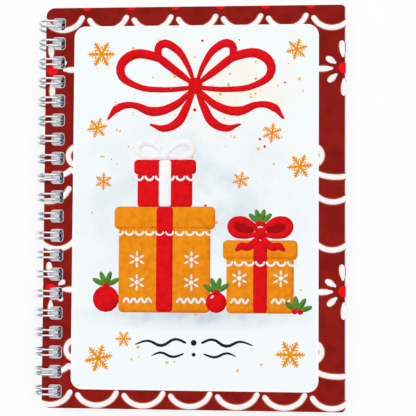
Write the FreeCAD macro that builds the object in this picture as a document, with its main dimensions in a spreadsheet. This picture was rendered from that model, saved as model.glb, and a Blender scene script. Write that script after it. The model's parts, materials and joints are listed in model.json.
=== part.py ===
"""A wire-bound gift card book: two printed covers and card leaves with pockets, turning on one twin-loop wire."""

import FreeCAD, Part
import math
import os

Vector = FreeCAD.Vector

# Driving sizes in millimetres, counts, and shares

SIZES = {
    # Covers
    "cover_width": 131.5,
    "cover_height": 175.5,
    "cover_thickness": 0.6,
    "spine_corner_radius": 3.8,
    "fore_corner_radius": 2.4,
    # Punched slots along the spine edge of every sheet
    "slot_count": 20,
    "slot_end_margin": 7.3135,
    "slot_length": 5.2,
    "slot_width": 5.4,
    "slot_corner_radius": 1.1,
    "edge_margin": 3.1,
    "slot_to_axis": 1.0,
    # Twin-loop wire
    "ring_outer": 12.7,
    "wire_diameter": 1.0,
    "strand_spacing": 2.36,
    "base_bend_radius": 1.2,
    "seam_gap": 0.6,
    "wire_clearance": 0.3,
    # Leaves
    "leaf_count": 4,
    "leaf_thickness": 0.3,
    "leaf_trim": 0.5,
    "leaf_lean": 0.35,
    "page_gap": 0.1,
    "leaf_phase_share": 0.25,
    # Pockets, each a card panel held by three strips of foam tape
    "card_length": 85.6,
    "card_side_room": 1.0,
    "pocket_depth": 42.0,
    "pocket_bottom_margin": 8.0,
    "panel_thickness": 0.25,
    "panel_corner_radius": 2.0,
    "thumb_notch_radius": 10.0,
    "tape_thickness": 0.8,
    "tape_width": 5.0,
    "tape_inset": 0.6,
    "tape_gap": 0.5,
}

doc = FreeCAD.newDocument("gift_card_book")
sheet = doc.addObject("Spreadsheet::Sheet", "Sizes")
for row, (alias, value) in enumerate(SIZES.items(), start=1):
    sheet.set("A%d" % row, alias)
    sheet.set("B%d" % row, str(value))
    sheet.setAlias("B%d" % row, alias)
doc.recompute()


def cell(alias):
    """The formula text for one cell of the sheet."""
    return "Sizes.%s" % alias


def size(alias):
    """The number in one cell of the sheet."""
    return float(sheet.get(alias))


# Formulas that several pieces share, in the frame of the ring's axis

COVER_SPINE = "(%s - %s)" % (cell("slot_to_axis"), cell("edge_margin"))
COVER_FORE = "(%s + %s)" % (COVER_SPINE, cell("cover_width"))
SLOT_SPAN = "(%s - 2 * %s)" % (cell("cover_height"), cell("slot_end_margin"))

AXIS_X = "((%s / 2 - %s) / 2)" % (cell("ring_outer"), COVER_FORE)
AXIS_Z = "(%s / 2)" % cell("ring_outer")

PAGE_PITCH = "(%s + %s + %s + %s)" % (
    cell("leaf_thickness"),
    cell("tape_thickness"),
    cell("panel_thickness"),
    cell("page_gap"),
)

# The first leaf is pushed away from the spine until the wire is at the near edge of its slots, with room for
# the last leaf too, which lies furthest from the axis, where the loops are narrowest.
LAST_DEPTH = "((%s / 2 - %s) * %s + %s / 2)" % (
    cell("leaf_count"),
    cell("leaf_phase_share"),
    PAGE_PITCH,
    cell("leaf_thickness"),
)
RING_INNER = "(%s / 2 - %s)" % (cell("ring_outer"), cell("wire_diameter"))
LEAF_SLOT = "(sqrt(%s ^ 2 - %s ^ 2) - %s)" % (RING_INNER, LAST_DEPTH, cell("wire_clearance"))
LEAF_SPINE = "(%s - %s)" % (LEAF_SLOT, cell("edge_margin"))
LEAF_FORE = "(%s - %s)" % (COVER_FORE, cell("leaf_trim"))
LEAF_HEIGHT = "(%s - 2 * %s)" % (cell("cover_height"), cell("leaf_trim"))
BACK_BOTTOM = "(%s + %s)" % (cell("wire_diameter"), cell("wire_clearance"))
BACK_TOP = "(%s + %s)" % (BACK_BOTTOM, cell("cover_thickness"))

PANEL_WIDTH = "(%s + 2 * (%s + %s + %s))" % (
    cell("card_length"),
    cell("card_side_room"),
    cell("tape_width"),
    cell("tape_inset"),
)
PANEL_HEIGHT = "(%s + %s + %s)" % (cell("pocket_depth"), cell("tape_width"), cell("tape_inset"))
PANEL_LEFT = "((%s + %s + %s - %s) / 2)" % (LEAF_SLOT, cell("slot_width"), LEAF_FORE, PANEL_WIDTH)
LOWER_POCKET = "(%s - %s / 2)" % (cell("pocket_bottom_margin"), LEAF_HEIGHT)
UPPER_POCKET = "(%s + %s / 2)" % (LOWER_POCKET, LEAF_HEIGHT)


def leaf_bottom(number):
    """Height of a leaf's underside. The leaves straddle the axis a quarter pitch off centre, so a turned
    leaf lies midway between the leaves that have stayed."""
    place = "(%s / 2 - %d + %s)" % (cell("leaf_count"), number, cell("leaf_phase_share"))
    return "(%s + %s * %s - %s / 2)" % (AXIS_Z, place, PAGE_PITCH, cell("leaf_thickness"))


def leaf_start(number):
    """X of the frame that a leaf is drawn in. The pile leans, so each leaf lies nearer the spine than the one
    above it."""
    return "(%s - %d * %s)" % (AXIS_X, number - 1, cell("leaf_lean"))


FRONT_BOTTOM = "(%s + %s)" % (leaf_bottom(1), PAGE_PITCH)


# Drawing helpers


def place_at(piece, x, y, z):
    """Ties a piece's place to formulas."""
    piece.setExpression("Placement.Base.x", x)
    piece.setExpression("Placement.Base.y", y)
    piece.setExpression("Placement.Base.z", z)


def origin_plane(body, role):
    """One of a body's own origin planes or axes."""
    for feature in body.Origin.OriginFeatures:
        if feature.Role == role:
            return feature
    raise ValueError("no origin feature called %s" % role)


def new_sketch(body, name):
    """An empty sketch on the body's XY plane."""
    sketch = body.newObject("Sketcher::SketchObject", name)
    sketch.AttachmentSupport = [(origin_plane(body, "XY_Plane"), "")]
    sketch.MapMode = "FlatFace"
    return sketch


def bound(sketch, name, formula, *constraint):
    """Adds a sized constraint and ties it to a formula."""
    import Sketcher

    index = sketch.addConstraint(Sketcher.Constraint(*constraint))
    sketch.renameConstraint(index, name)
    sketch.setExpression("Constraints.%s" % name, formula)


def draw_rounded_rectangle(sketch, left, bottom, width, height, left_radius, right_radius):
    """A rectangle with round corners. Every argument is a formula. It is drawn roughly as a unit shape,
    and the constraints then bring it to size."""
    import Sketcher

    reach, bend = 10.0, 1.0
    half, quarter = math.pi, math.pi / 2

    def line(x0, y0, x1, y1):
        return Part.LineSegment(Vector(x0, y0, 0), Vector(x1, y1, 0))

    def corner(x, y, start):
        circle = Part.Circle(Vector(x, y, 0), Vector(0, 0, 1), bend)
        return Part.ArcOfCircle(circle, start, start + quarter)

    far = reach - bend
    shapes = [
        line(bend, 0, far, 0),
        corner(far, bend, -quarter),
        line(reach, bend, reach, far),
        corner(far, far, 0),
        line(far, reach, bend, reach),
        corner(bend, far, quarter),
        line(0, far, 0, bend),
        corner(bend, bend, half),
    ]
    first = sketch.addGeometry(shapes, False)[0]
    count = len(shapes)
    for step in range(count):
        here, there = first + step, first + (step + 1) % count
        sketch.addConstraint(Sketcher.Constraint("Tangent", here, 2, there, 1))
    lower, right, upper, spine = first, first + 2, first + 4, first + 6
    for flat in (lower, upper):
        sketch.addConstraint(Sketcher.Constraint("Horizontal", flat))
    for upright in (right, spine):
        sketch.addConstraint(Sketcher.Constraint("Vertical", upright))
    bound(sketch, "fore_low", right_radius, "Radius", first + 1, bend)
    bound(sketch, "fore_high", right_radius, "Radius", first + 3, bend)
    bound(sketch, "spine_high", left_radius, "Radius", first + 5, bend)
    bound(sketch, "spine_low", left_radius, "Radius", first + 7, bend)
    bound(sketch, "wide", width, "DistanceX", spine, 1, right, 1, reach)
    bound(sketch, "high", height, "DistanceY", lower, 1, upper, 1, reach)
    bound(sketch, "from_axis", left, "DistanceX", -1, 1, spine, 1, 0)
    bound(sketch, "from_middle", bottom, "DistanceY", -1, 1, lower, 1, 0)


def new_pad(body, sketch, name, thickness):
    """A pad of the sketch, upwards."""
    pad = body.newObject("PartDesign::Pad", name)
    pad.Profile = sketch
    pad.setExpression("Length", thickness)
    return pad


def new_cut(body, sketch, name):
    """A cut of the sketch right through the body, upwards from its underside."""
    cut = body.newObject("PartDesign::Pocket", name)
    cut.Profile = sketch
    cut.Type = "ThroughAll"
    cut.Reversed = True
    return cut


# Sheets: covers and leaves


def make_sheet(label, start, spine, fore, height, slot_left, thickness, bottom_height):
    """One punched sheet with round corners, drawn from the ring's axis or close to it."""
    body = doc.addObject("PartDesign::Body", label)
    body.Label = label
    outline = new_sketch(body, label + "_outline")
    draw_rounded_rectangle(
        outline,
        spine,
        "-%s / 2" % height,
        "%s - %s" % (fore, spine),
        height,
        cell("spine_corner_radius"),
        cell("fore_corner_radius"),
    )
    new_pad(body, outline, label + "_sheet", thickness)
    doc.recompute()
    whole = body.Shape.Volume

    slot = new_sketch(body, label + "_slot")
    draw_rounded_rectangle(
        slot,
        slot_left,
        "-(%s + %s) / 2" % (SLOT_SPAN, cell("slot_length")),
        cell("slot_width"),
        cell("slot_length"),
        cell("slot_corner_radius"),
        cell("slot_corner_radius"),
    )
    punch = new_cut(body, slot, label + "_punch")
    doc.recompute()
    one_slot = whole - body.Shape.Volume

    row = body.newObject("PartDesign::LinearPattern", label + "_slots")
    row.Originals = [punch]
    row.Direction = (origin_plane(body, "Y_Axis"), [""])
    row.setExpression("Length", SLOT_SPAN)
    row.setExpression("Occurrences", cell("slot_count"))
    body.Tip = row
    place_at(body, start, "0", bottom_height)
    doc.recompute()
    cut_away = whole - body.Shape.Volume
    expected = one_slot * size("slot_count")
    if abs(cut_away - expected) > expected / 1000:
        raise RuntimeError("%s: the slots take %.3f, not %.3f" % (label, cut_away, expected))
    return body


# Pockets


def make_panel(label, start, pocket_bottom, height):
    """The card panel of one pocket, with a thumb notch in its open upper edge."""
    body = doc.addObject("PartDesign::Body", label)
    body.Label = label
    outline = new_sketch(body, label + "_outline")
    draw_rounded_rectangle(
        outline,
        "0",
        "0",
        PANEL_WIDTH,
        PANEL_HEIGHT,
        cell("panel_corner_radius"),
        cell("panel_corner_radius"),
    )
    new_pad(body, outline, label + "_sheet", cell("panel_thickness"))

    notch = new_sketch(body, label + "_notch")
    circle = Part.Circle(Vector(0, 0, 0), Vector(0, 0, 1), 1)
    hole = notch.addGeometry(circle, False)
    bound(notch, "thumb", cell("thumb_notch_radius"), "Radius", hole, 1)
    bound(notch, "across", "%s / 2" % PANEL_WIDTH, "DistanceX", -1, 1, hole, 3, 1)
    bound(notch, "along", PANEL_HEIGHT, "DistanceY", -1, 1, hole, 3, 1)
    new_cut(body, notch, label + "_thumb_cut")
    place_at(body, "%s + %s" % (start, PANEL_LEFT), pocket_bottom, height)
    doc.recompute()
    return body


def make_tape(label, start, pocket_bottom, height):
    """Three strips of foam tape under the sides and the lower edge of one panel."""
    left = "%s + %s + %s" % (start, PANEL_LEFT, cell("tape_inset"))
    right = "%s + %s + %s - %s - %s" % (
        start,
        PANEL_LEFT,
        PANEL_WIDTH,
        cell("tape_inset"),
        cell("tape_width"),
    )
    inner = "%s + %s + %s" % (left, cell("tape_width"), cell("tape_gap"))
    low = "%s + %s" % (pocket_bottom, cell("tape_inset"))
    upright = "%s - 2 * %s" % (PANEL_HEIGHT, cell("tape_inset"))
    across = "%s - 2 * (%s + %s + %s)" % (
        PANEL_WIDTH,
        cell("tape_inset"),
        cell("tape_width"),
        cell("tape_gap"),
    )
    strips = (
        ("spine_side", left, cell("tape_width"), upright),
        ("fore_side", right, cell("tape_width"), upright),
        ("foot", inner, across, cell("tape_width")),
    )
    boxes = []
    for name, x, width, length in strips:
        box = doc.addObject("Part::Box", "%s_%s" % (label, name))
        box.setExpression("Length", width)
        box.setExpression("Width", length)
        box.setExpression("Height", cell("tape_thickness"))
        place_at(box, x, low, height)
        boxes.append(box)
    group = doc.addObject("Part::Compound", label)
    group.Label = label
    group.Links = boxes
    return group


def make_pockets(owner, start, face_height):
    """Both pockets of one page: each is three strips of tape and a panel on top of them."""
    pieces = []
    for name, pocket_bottom in (("upper", UPPER_POCKET), ("lower", LOWER_POCKET)):
        label = "%s_%s" % (owner, name)
        panel_height = "%s + %s" % (face_height, cell("tape_thickness"))
        pieces.append(make_tape(label + "_tape", start, pocket_bottom, face_height))
        pieces.append(make_panel(label + "_pocket", start, pocket_bottom, panel_height))
    return pieces


# Twin-loop wire


class Ring:
    """The circle that every strand of the wire follows, and its seam between the last leaf and the back cover."""

    def __init__(self, axis_x, axis_z, back_top, last_leaf):
        self.x, self.z = axis_x, axis_z
        self.radius = (size("ring_outer") - size("wire_diameter")) / 2
        bend = size("base_bend_radius")
        run_radius = math.hypot(self.radius, bend)
        run_angle = math.asin(((back_top + last_leaf) / 2 - axis_z) / run_radius)
        tip = size("strand_spacing") / 2
        self.start = run_angle + math.atan(bend / self.radius)
        whole = 2 * math.pi
        self.end = run_angle + whole - size("seam_gap") / self.radius - math.atan(tip / self.radius)

    def at(self, angle, y):
        """A point of the circle."""
        reach = self.radius
        return Vector(self.x + reach * math.cos(angle), y, self.z + reach * math.sin(angle))

    def along(self, angle):
        """The direction of travel there, towards growing angles."""
        return Vector(-math.sin(angle), 0, math.cos(angle))


def arc_edge(centre, out, on, radius, turn):
    """An arc that starts at centre + out * radius and turns towards on."""

    def point(angle):
        return centre + (out * math.cos(angle) + on * math.sin(angle)) * radius

    return Part.Arc(point(0), point(turn / 2), point(turn)).toShape()


def strand_edges(ring, y, outward):
    """One strand round the ring, from the seam's base to the tip, or back from the tip to the base."""
    pieces = 4
    step = (ring.end - ring.start) / pieces
    angles = [ring.start + step * count for count in range(pieces + 1)]
    if not outward:
        angles.reverse()
    edges = []
    for first, last in zip(angles, angles[1:]):
        middle = (first + last) / 2
        edges.append(Part.Arc(ring.at(first, y), ring.at(middle, y), ring.at(last, y)).toShape())
    return edges


def wire_edges(ring):
    """The whole wire as one path: base, strand, round tip, strand, base, for each slot in turn."""
    quarter = math.pi / 2
    up = Vector(0, 1, 0)
    half = size("strand_spacing") / 2
    bend = size("base_bend_radius")
    count = int(size("slot_count"))
    pitch = (size("cover_height") - 2 * size("slot_end_margin")) / (count - 1)
    first_y = -(count - 1) * pitch / 2
    run = pitch - 2 * half - 2 * bend
    base_on, tip_on = ring.along(ring.start), ring.along(ring.end)
    edges = []
    for number in range(count):
        low = first_y + number * pitch - half
        high = low + 2 * half
        base_low = ring.at(ring.start, low - bend)
        if number == 0:
            stub = base_low - base_on * bend
            edges.append(Part.LineSegment(stub - up * run / 2, stub).toShape())
        edges.append(arc_edge(base_low, -base_on, up, bend, quarter))
        edges += strand_edges(ring, low, True)
        tip_centre = ring.at(ring.end, low + half)
        edges.append(arc_edge(tip_centre, -up, tip_on, half, quarter))
        edges.append(arc_edge(tip_centre, tip_on, up, half, quarter))
        edges += strand_edges(ring, high, False)
        base_high = ring.at(ring.start, high + bend)
        edges.append(arc_edge(base_high, -up, -base_on, bend, quarter))
        run_start = base_high - base_on * bend
        reach = run / 2 if number == count - 1 else run
        edges.append(Part.LineSegment(run_start, run_start + up * reach).toShape())
    return edges


def least_gap(path, diameter):
    """The least distance between two stretches of the wire that aren't neighbours, surface to surface."""
    spacing = diameter / 2
    points = path.discretize(Distance=spacing)
    skip = int(math.pi * diameter / spacing)
    cells = {}
    for index, point in enumerate(points):
        key = tuple(int(value // (2 * diameter)) for value in point)
        cells.setdefault(key, []).append(index)
    least = math.inf
    around = [-1, 0, 1]
    for key, members in cells.items():
        near = [
            index
            for dx in around
            for dy in around
            for dz in around
            for index in cells.get((key[0] + dx, key[1] + dy, key[2] + dz), [])
        ]
        for here in members:
            for there in near:
                if there - here > skip:
                    least = min(least, points[here].distanceToPoint(points[there]))
    return least - diameter


def make_wire(label, back_cover, last_leaf):
    """The binding wire as one unbroken tube."""
    axis = back_cover.Placement.Base
    back_top = axis.z + size("cover_thickness")
    ring = Ring(axis.x, size("ring_outer") / 2, back_top, last_leaf.Placement.Base.z)
    path = Part.Wire(wire_edges(ring))
    start = path.OrderedEdges[0]
    section = Part.Circle(
        start.valueAt(start.FirstParameter),
        start.tangentAt(start.FirstParameter),
        size("wire_diameter") / 2,
    )
    tube = path.makePipeShell([Part.Wire(section.toShape())], True, False)
    expected = path.Length * math.pi * size("wire_diameter") ** 2 / 4
    if abs(tube.Volume - expected) > expected / 100:
        raise RuntimeError("%s: volume %.3f, not %.3f" % (label, tube.Volume, expected))
    print("wire length %.1f, least gap to itself %.2f" % (path.Length, least_gap(path, size("wire_diameter"))))
    piece = doc.addObject("Part::Feature", label)
    piece.Label = label
    piece.Shape = tube
    return piece


# The book

leaf_numbers = range(1, int(size("leaf_count")) + 1)
pieces = []
for sheet_name, sheet_bottom in (("front_cover", FRONT_BOTTOM), ("back_cover", BACK_BOTTOM)):
    pieces.append(
        make_sheet(
            sheet_name,
            AXIS_X,
            COVER_SPINE,
            COVER_FORE,
            cell("cover_height"),
            cell("slot_to_axis"),
            cell("cover_thickness"),
            sheet_bottom,
        )
    )
back = pieces[-1]
leaves = [
    make_sheet(
        "leaf_%d" % number,
        leaf_start(number),
        LEAF_SPINE,
        LEAF_FORE,
        LEAF_HEIGHT,
        LEAF_SLOT,
        cell("leaf_thickness"),
        leaf_bottom(number),
    )
    for number in leaf_numbers
]
pieces += leaves
for number in leaf_numbers:
    face_height = "%s + %s" % (leaf_bottom(number), cell("leaf_thickness"))
    pieces += make_pockets("leaf_%d" % number, leaf_start(number), face_height)
pieces += make_pockets("back", AXIS_X, BACK_TOP)
pieces.append(make_wire("binding_wire", back, leaves[-1]))
doc.recompute()

# Checks, then one file for each piece

for thing in doc.Objects:
    if "Invalid" in thing.State or "Error" in thing.State:
        raise RuntimeError("%s failed: %s" % (thing.Label, thing.State))
for piece in pieces:
    if piece.Shape.isNull() or not piece.Shape.isValid():
        raise RuntimeError("%s has no valid shape" % piece.Label)

os.makedirs("parts", exist_ok=True)
for piece in pieces:
    piece.Shape.exportStep("parts/%s.step" % piece.Label)
    box = piece.Shape.BoundBox
    print("%-22s %d solid(s)  %.2f x %.2f x %.2f" % (
        piece.Label, len(piece.Shape.Solids), box.XLength, box.YLength, box.ZLength))
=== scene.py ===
"""Dresses the gift card book: printed covers, card pages with pockets, and the twin-loop wire."""

import json
import math
import random

import bpy
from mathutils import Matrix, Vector

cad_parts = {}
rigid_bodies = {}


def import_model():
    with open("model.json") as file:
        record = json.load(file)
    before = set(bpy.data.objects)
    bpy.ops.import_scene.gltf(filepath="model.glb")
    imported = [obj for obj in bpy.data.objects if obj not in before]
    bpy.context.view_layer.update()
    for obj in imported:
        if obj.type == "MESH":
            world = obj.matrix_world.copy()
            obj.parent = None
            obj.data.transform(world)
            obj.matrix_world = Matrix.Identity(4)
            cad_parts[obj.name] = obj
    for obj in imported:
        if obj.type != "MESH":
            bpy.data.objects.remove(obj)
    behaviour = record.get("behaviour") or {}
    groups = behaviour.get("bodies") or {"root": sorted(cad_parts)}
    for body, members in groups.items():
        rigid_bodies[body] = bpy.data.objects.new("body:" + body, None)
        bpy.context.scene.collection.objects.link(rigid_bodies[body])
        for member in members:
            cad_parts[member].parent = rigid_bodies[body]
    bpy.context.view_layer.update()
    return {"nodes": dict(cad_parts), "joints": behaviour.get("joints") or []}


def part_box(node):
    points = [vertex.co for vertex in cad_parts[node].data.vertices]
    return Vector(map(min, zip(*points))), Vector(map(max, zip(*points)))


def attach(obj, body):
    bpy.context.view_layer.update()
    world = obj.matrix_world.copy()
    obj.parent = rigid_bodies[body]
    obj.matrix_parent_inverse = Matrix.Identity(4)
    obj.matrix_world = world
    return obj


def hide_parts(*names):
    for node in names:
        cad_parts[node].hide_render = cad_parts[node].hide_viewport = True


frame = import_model()
NODES = frame["nodes"]

bl_info = {
    "name": "Gift Card Book",
    "version": (1, 0, 0),
    "blender": (4, 5, 0),
    "location": "View3D > Sidebar > Card Book",
    "description": "Builds the printed covers, pages and wire of a wire-bound gift card book",
    "category": "Object",
}

MM = 0.001
SAME_PLACE = 0.001 * MM
PHOTO_SIDE = 416
PAINTED_LIGHT = Vector((-0.42, 0.62, 0.66)).normalized()

# Places and sizes of the solids

FRONT_LOW, FRONT_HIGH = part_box("front_cover")
BACK_LOW, BACK_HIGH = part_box("back_cover")
WIRE_LOW, WIRE_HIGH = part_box("binding_wire")
FRONT_FACE = FRONT_HIGH.z
BACK_FACE = BACK_LOW.z
HINGE = frame["joints"][0]["pos_m"]
SPINE_CORNER, FORE_CORNER = 3.8 * MM, 2.4 * MM
SLOTS = 20
SLOT_FROM_HINGE = 1.0 * MM
SLOT_LEFT = HINGE[0] + SLOT_FROM_HINGE
SEAM_GAP = 0.6 * MM
PAGES = {"leaf_1": "page_1", "leaf_2": "page_2", "leaf_3": "page_3", "leaf_4": "page_4", "back": "back"}

# The pale panel on the front cover

PANEL_LOW = Vector((-50.9 * MM, -79.5 * MM))
PANEL_HIGH = Vector((56.2 * MM, 79.4 * MM))
PANEL_MIDDLE = (PANEL_LOW + PANEL_HIGH) / 2
RIM_TOP = 0.07 * MM
PANEL_TOP = 0.08 * MM


# Properties


def tint(red, green, blue):
    """A display colour from 0 to 255 as linear light."""

    def channel(value):
        share = value / 255
        if share <= 0.04045:
            return share / 12.92
        return ((share + 0.055) / 1.055) ** 2.4

    return (channel(red), channel(green), channel(blue))


def length(name, text, default):
    """A length property given in millimetres."""
    return bpy.props.FloatProperty(
        name=name, description=text, default=default * MM, min=0, unit="LENGTH", precision=5
    )


def colour(name, text, red, green, blue):
    """A colour property given as a display colour."""
    return bpy.props.FloatVectorProperty(
        name=name, description=text, default=tint(red, green, blue), subtype="COLOR", min=0, max=1
    )


class BookSizes(bpy.types.PropertyGroup):
    """Sizes of the print and of the formed wire."""

    piping: length("Piping width", "Width of a piped icing line on the covers", 2.35)
    ink: length("Ink height", "Height of a printed motif above its sheet", 0.05)
    scallop_depth: length("Scallop depth", "Drop of a piped scallop", 6.2)
    daisy_reach: length("Daisy reach", "From a daisy's middle to its petal tips", 11.9)
    petal: length("Petal width", "Width of a daisy's petal", 2.5)
    daisy_eye: length("Daisy eye", "Radius of a daisy's red middle", 2.4)
    panel_rim: length("Panel rim", "Width of the white line round the pale panel", 0.8)
    panel_corner: length("Panel corner", "Corner radius of the pale panel", 4.9)
    slot_length: length("Slot length", "Length of a punched slot along the spine", 5.2)
    slot_width: length("Slot width", "Width of a punched slot", 5.4)
    slot_corner: length("Slot corner", "Corner radius of a punched slot", 1.1)
    # This width is that of a painted highlight in the core's colour round each slot, not bare board left by
    # punching.
    slot_highlight: length("Slot rim", "Bare rim that punching leaves round a slot", 0.18)
    slot_pitch: length("Slot pitch", "From one slot to the next, three to the inch", 8.467)
    wire: length("Wire diameter", "Thickness of the binding wire", 1.0)
    strand_spacing: length("Strand spacing", "Between the two strands of one loop", 2.36)
    bend: length("Wire bend", "Radius of the bends at the foot of a loop", 1.2)


class BookColours(bpy.types.PropertyGroup):
    """Colours of the inks, cards and wire."""

    border: colour("Border red", "Ground of both covers", 147, 25, 17)
    border_deep: colour("Deep border red", "Darker clouds in the ground of the covers", 124, 17, 11)
    icing: colour("Icing", "Piped lines and petals", 252, 252, 253)
    icing_shade: colour("Icing shade", "Shaded side of a piped line", 214, 208, 214)
    icing_edge: colour("Icing edge", "Warm rim round a piped line", 196, 92, 54)
    berry: colour("Berry red", "Dots and daisy middles", 250, 14, 22)
    panel: colour("Panel", "Pale ground of the picture", 245, 251, 252)
    wash: colour("Wash", "Watercolour cloud on the panel", 214, 225, 232)
    ground: colour("Ground wash", "Watercolour shade under the parcels", 196, 208, 219)
    cream: colour("Cream wash", "Warm watercolour cloud behind the bow", 250, 243, 224)
    rim: colour("Panel rim", "White line round the panel", 252, 253, 254)
    gold: colour("Gold", "Snowflakes", 242, 154, 4)
    gold_deep: colour("Deep gold", "Darker strokes in the gold", 230, 132, 0)
    speck: colour("Pale gold", "Specks between the snowflakes", 252, 202, 96)
    ribbon: colour("Ribbon red", "Ribbon and bows", 234, 12, 22)
    ribbon_deep: colour("Deep ribbon red", "Folds of the ribbon", 168, 4, 14)
    ginger: colour("Ginger", "Wrapping of the parcels", 246, 150, 18)
    ginger_deep: colour("Deep ginger", "Shaded wrapping", 206, 100, 6)
    leaf_green: colour("Leaf green", "Sprigs of greenery", 92, 146, 52)
    leaf_deep: colour("Deep green", "Shaded greenery", 38, 84, 30)
    dark_ink: colour("Dark ink", "Fine dark scrolls", 34, 28, 30)
    paper: colour("Leaf card", "Card of the leaves and the covers' insides", 242, 246, 250)
    # The core colour is also the painted highlight round the slots and along the fore edge of the covers.
    core: colour("Card core", "Cut edge of the covers", 228, 233, 243)
    kraft: colour("Pocket card", "Card of the pockets", 221, 150, 78)
    foam: colour("Foam tape", "Tape under the pockets", 246, 246, 244)
    steel: colour("Wire", "Bright coated wire", 240, 241, 245)
    floor: colour("Floor", "Pale floor under the book", 253, 253, 253)


# Picking and finishing


def end_edit():
    """Goes back to object mode."""
    bpy.ops.object.mode_set(mode="OBJECT")


def clear_pick():
    """Leaves edit mode and deselects everything."""
    if bpy.context.mode != "OBJECT":
        end_edit()
    bpy.ops.object.select_all(action="DESELECT")


def pick(*things):
    """Selects these objects alone. The last one is active."""
    clear_pick()
    for thing in things:
        thing.select_set(True)
    bpy.context.view_layer.objects.active = things[-1]
    return things[-1]


def edit_all(piece):
    """Enters edit mode on one object, with all of it selected."""
    pick(piece)
    bpy.ops.object.mode_set(mode="EDIT")
    bpy.ops.mesh.select_all(action="SELECT")


def select_where(piece, test):
    """Enters edit mode with just those vertices selected that pass a test on their place."""
    edit_all(piece)
    bpy.ops.mesh.select_mode(type="VERT")
    bpy.ops.mesh.select_all(action="DESELECT")
    end_edit()
    for vertex in piece.data.vertices:
        vertex.select = test(vertex.co)
    bpy.ops.object.mode_set(mode="EDIT")


def face_outwards():
    """Turns the selected faces outwards and goes back to object mode."""
    bpy.ops.mesh.normals_make_consistent(inside=False)
    end_edit()


def name_piece(piece, name):
    """Gives an object and its data one name."""
    piece.name = name
    piece.data.name = name
    return piece


def set_place(piece):
    """Puts the object's place, turn and scale into its mesh."""
    pick(piece)
    bpy.ops.object.transform_apply(location=True, rotation=True, scale=True)
    return piece


def join(name, pieces):
    """Several meshes as one."""
    whole = pick(*pieces)
    if len(pieces) > 1:
        bpy.ops.object.join()
    return name_piece(whole, name)


def copy_piece(piece, place=(0, 0, 0), turn=0.0, scale=1.0):
    """A copy with its own mesh, moved, turned about Z and scaled in X and Y."""
    pick(piece)
    bpy.ops.object.duplicate(linked=False)
    copy = bpy.context.object
    copy.location = place
    copy.rotation_euler = (0, 0, turn)
    copy.scale = (scale, scale, 1)
    return set_place(copy)


def remove(*pieces):
    """Deletes helper objects."""
    pick(*pieces)
    bpy.ops.object.delete()


def apply_modifier(piece, kind, **settings):
    """Adds one modifier and applies it."""
    pick(piece)
    modifier = piece.modifiers.new(kind.title(), kind)
    for name, value in settings.items():
        setattr(modifier, name, value)
    bpy.ops.object.modifier_apply(modifier=modifier.name)


def dress(piece, material, body):
    """Gives a finished piece its material and the body that it moves with."""
    piece.data.materials.clear()
    piece.data.materials.append(material)
    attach(piece, body)
    return piece


# Forms


def new_strokes(name, paths, width, rounded=True, sides=2, steps=4, closed=False):
    """Round piped lines through lists of (x, y) or (x, y, share of the width) points."""
    clear_pick()
    bpy.ops.curve.primitive_bezier_curve_add(location=(0, 0, 0))
    curve = bpy.context.object.data
    curve.bevel_depth = width / 2
    curve.bevel_resolution = sides
    curve.resolution_u = steps
    curve.use_fill_caps = not closed
    for number, path in enumerate(paths):
        spline = curve.splines[0] if number == 0 else curve.splines.new("BEZIER")
        points = [(point[0], point[1], point[2] if len(point) > 2 else 1.0) for point in path]
        if rounded and not closed:
            points = round_ends(points, width)
        spline.bezier_points.add(len(points) - len(spline.bezier_points))
        for knot, (x, y, share) in zip(spline.bezier_points, points):
            knot.co = (x, y, 0)
            knot.radius = share
            knot.handle_left_type = "AUTO"
            knot.handle_right_type = "AUTO"
        spline.use_cyclic_u = closed
    bpy.ops.object.convert(target="MESH")
    piece = bpy.context.object
    edit_all(piece)
    bpy.ops.mesh.remove_doubles(threshold=SAME_PLACE)
    face_outwards()
    bpy.ops.object.shade_smooth()
    return name_piece(piece, name)


def round_ends(points, width):
    """Adds short, narrowing steps to both ends of a line, so that it ends in a round blob."""
    blob_shares = ((0.0, 0.12), (0.06, 0.5), (0.22, 0.82), (0.5, 1.0))
    clear_share = 0.55

    def blob(first, second):
        start = Vector(first[:2])
        way = (Vector(second[:2]) - start).normalized() * width
        return [(*start + way * along, first[2] * share) for along, share in blob_shares]

    def between(point):
        place = Vector(point[:2])
        return all((place - Vector(end[:2])).length > clear_share * width for end in (points[0], points[-1]))

    head = blob(points[0], points[1])
    tail = blob(points[-1], points[-2])
    return head + [point for point in points[1:-1] if between(point)] + tail[::-1]


def new_pebble(place, size, turn=0.0):
    """A smooth pebble of a given length, width and height, which becomes a printed dot, petal or leaf."""
    clear_pick()
    bpy.ops.mesh.primitive_uv_sphere_add(
        segments=14, ring_count=8, radius=0.5, location=(place[0], place[1], 0)
    )
    piece = bpy.context.object
    piece.scale = size
    piece.rotation_euler = (0, 0, turn)
    bpy.ops.object.shade_smooth()
    return set_place(piece)


def middle_of(low, high, level):
    """The point midway between two corners, at a level."""
    return ((low[0] + high[0]) / 2, (low[1] + high[1]) / 2, level)


def new_block(low, high, edge):
    """A block with well-rounded edges, from its low to its high corner in the plane of the sheet."""
    clear_pick()
    bpy.ops.mesh.primitive_cube_add(size=1, location=middle_of(low, high, 0))
    piece = bpy.context.object
    piece.scale = (high[0] - low[0], high[1] - low[1], 4 * edge)
    edit_all(set_place(piece))
    bpy.ops.mesh.bevel(offset=edge, segments=4, affect="EDGES")
    end_edit()
    bpy.ops.object.shade_smooth()
    return piece


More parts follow.
